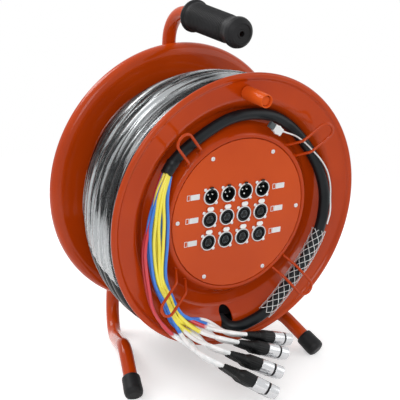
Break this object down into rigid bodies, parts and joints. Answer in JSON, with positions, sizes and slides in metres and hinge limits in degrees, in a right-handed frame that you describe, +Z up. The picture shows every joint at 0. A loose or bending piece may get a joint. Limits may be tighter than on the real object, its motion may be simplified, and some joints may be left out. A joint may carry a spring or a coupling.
{
  "type": "multicore cable drum",
  "caption": "Steel cable reel on a bent tube stand, wound with a multicore audio cable; its drum carries a connector panel, a crank knob and a fan-out tail with line connectors.",
  "frame": {"origin": "on the floor under the middle of the reel, halfway between the crank knob's tip and the back of the stand", "axes": "+Z up, Y along the axle, -Y towards the connector panel, +X to the right as seen from the front"},
  "size_m": [0.3986, 0.3547, 0.521],
  "materials": {
    "paint": "gloss powder coat",
    "rubber": "matte",
    "steel": "zinc plated",
    "nickel": "satin nickel",
    "nylon": "matte",
    "jacket": "satin cable jacket",
    "film": "cable under clear stretch film",
    "sleeve": "coloured and clear sleeves"
  },
  "bodies": {
    "stand": {"left_leg_tube": "paint", "right_leg_tube": "paint", "handle_tube": "paint", "hub_plate": "paint", "handle_grip": "rubber", "left_foot_cap": "rubber", "right_foot_cap": "rubber", "axle": "steel", "axle_collar": "steel"},
    "drum": {"front_flange": "paint", "rear_flange": "paint", "barrel": "paint", "bearing_tube": "steel", "front_bush": "nylon", "rear_bush": "nylon", "patch_panel": "paint", "panel_connector_01": "nickel", "panel_connector_02": "nickel", "panel_connector_03": "nickel", "panel_connector_04": "nickel", "panel_connector_05": "nickel", "panel_connector_06": "nickel", "panel_connector_07": "nickel", "panel_connector_08": "nickel", "panel_connector_09": "nickel", "panel_connector_10": "nickel", "panel_connector_11": "nickel", "panel_connector_12": "nickel", "crank_bolt": "steel", "upper_left_hook": "paint", "upper_right_hook": "paint", "lower_right_hook": "paint", "lower_left_hook": "paint", "cable_winding": "film", "winding_core": "jacket", "multicore_tail": "jacket", "cable_grip_sock": "steel", "pull_wire": "steel", "fan_out": "sleeve", "line_connector_01": "nickel", "line_connector_02": "nickel", "line_connector_03": "nickel", "line_connector_04": "nickel", "line_connector_05": "nickel", "line_connector_06": "nickel", "line_connector_07": "nickel", "line_connector_08": "nickel", "line_connector_09": "nickel", "line_connector_10": "nickel", "line_connector_11": "nickel", "line_connector_12": "nickel"},
    "crank": {"crank_knob": "paint"},
    "tab_05": {"release_tab_05": "nickel"},
    "tab_06": {"release_tab_06": "nickel"},
    "tab_07": {"release_tab_07": "nickel"},
    "tab_08": {"release_tab_08": "nickel"},
    "tab_09": {"release_tab_09": "nickel"},
    "tab_10": {"release_tab_10": "nickel"},
    "tab_11": {"release_tab_11": "nickel"},
    "tab_12": {"release_tab_12": "nickel"}
  },
  "joints": [
    {"name": "drum_spin", "type": "hinge", "parent": "stand", "child": "drum", "pos_m": [0, 0, 0.2505], "axis": [0, 1, 0], "continuous": true},
    {"name": "knob_spin", "type": "hinge", "parent": "drum", "child": "crank", "pos_m": [0, -0.107, 0.4225], "axis": [0, 1, 0], "continuous": true},
    {"name": "tab_05_press", "type": "slide", "parent": "drum", "child": "tab_05", "axis": [0, 1, 0], "range_m": [0, 0.0012], "stiffness_N_per_m": 300},
    {"name": "tab_06_press", "type": "slide", "parent": "drum", "child": "tab_06", "axis": [0, 1, 0], "range_m": [0, 0.0012], "stiffness_N_per_m": 300},
    {"name": "tab_07_press", "type": "slide", "parent": "drum", "child": "tab_07", "axis": [0, 1, 0], "range_m": [0, 0.0012], "stiffness_N_per_m": 300},
    {"name": "tab_08_press", "type": "slide", "parent": "drum", "child": "tab_08", "axis": [0, 1, 0], "range_m": [0, 0.0012], "stiffness_N_per_m": 300},
    {"name": "tab_09_press", "type": "slide", "parent": "drum", "child": "tab_09", "axis": [0, 1, 0], "range_m": [0, 0.0012], "stiffness_N_per_m": 300},
    {"name": "tab_10_press", "type": "slide", "parent": "drum", "child": "tab_10", "axis": [0, 1, 0], "range_m": [0, 0.0012], "stiffness_N_per_m": 300},
    {"name": "tab_11_press", "type": "slide", "parent": "drum", "child": "tab_11", "axis": [0, 1, 0], "range_m": [0, 0.0012], "stiffness_N_per_m": 300},
    {"name": "tab_12_press", "type": "slide", "parent": "drum", "child": "tab_12", "axis": [0, 1, 0], "range_m": [0, 0.0012], "stiffness_N_per_m": 300}
  ]
}
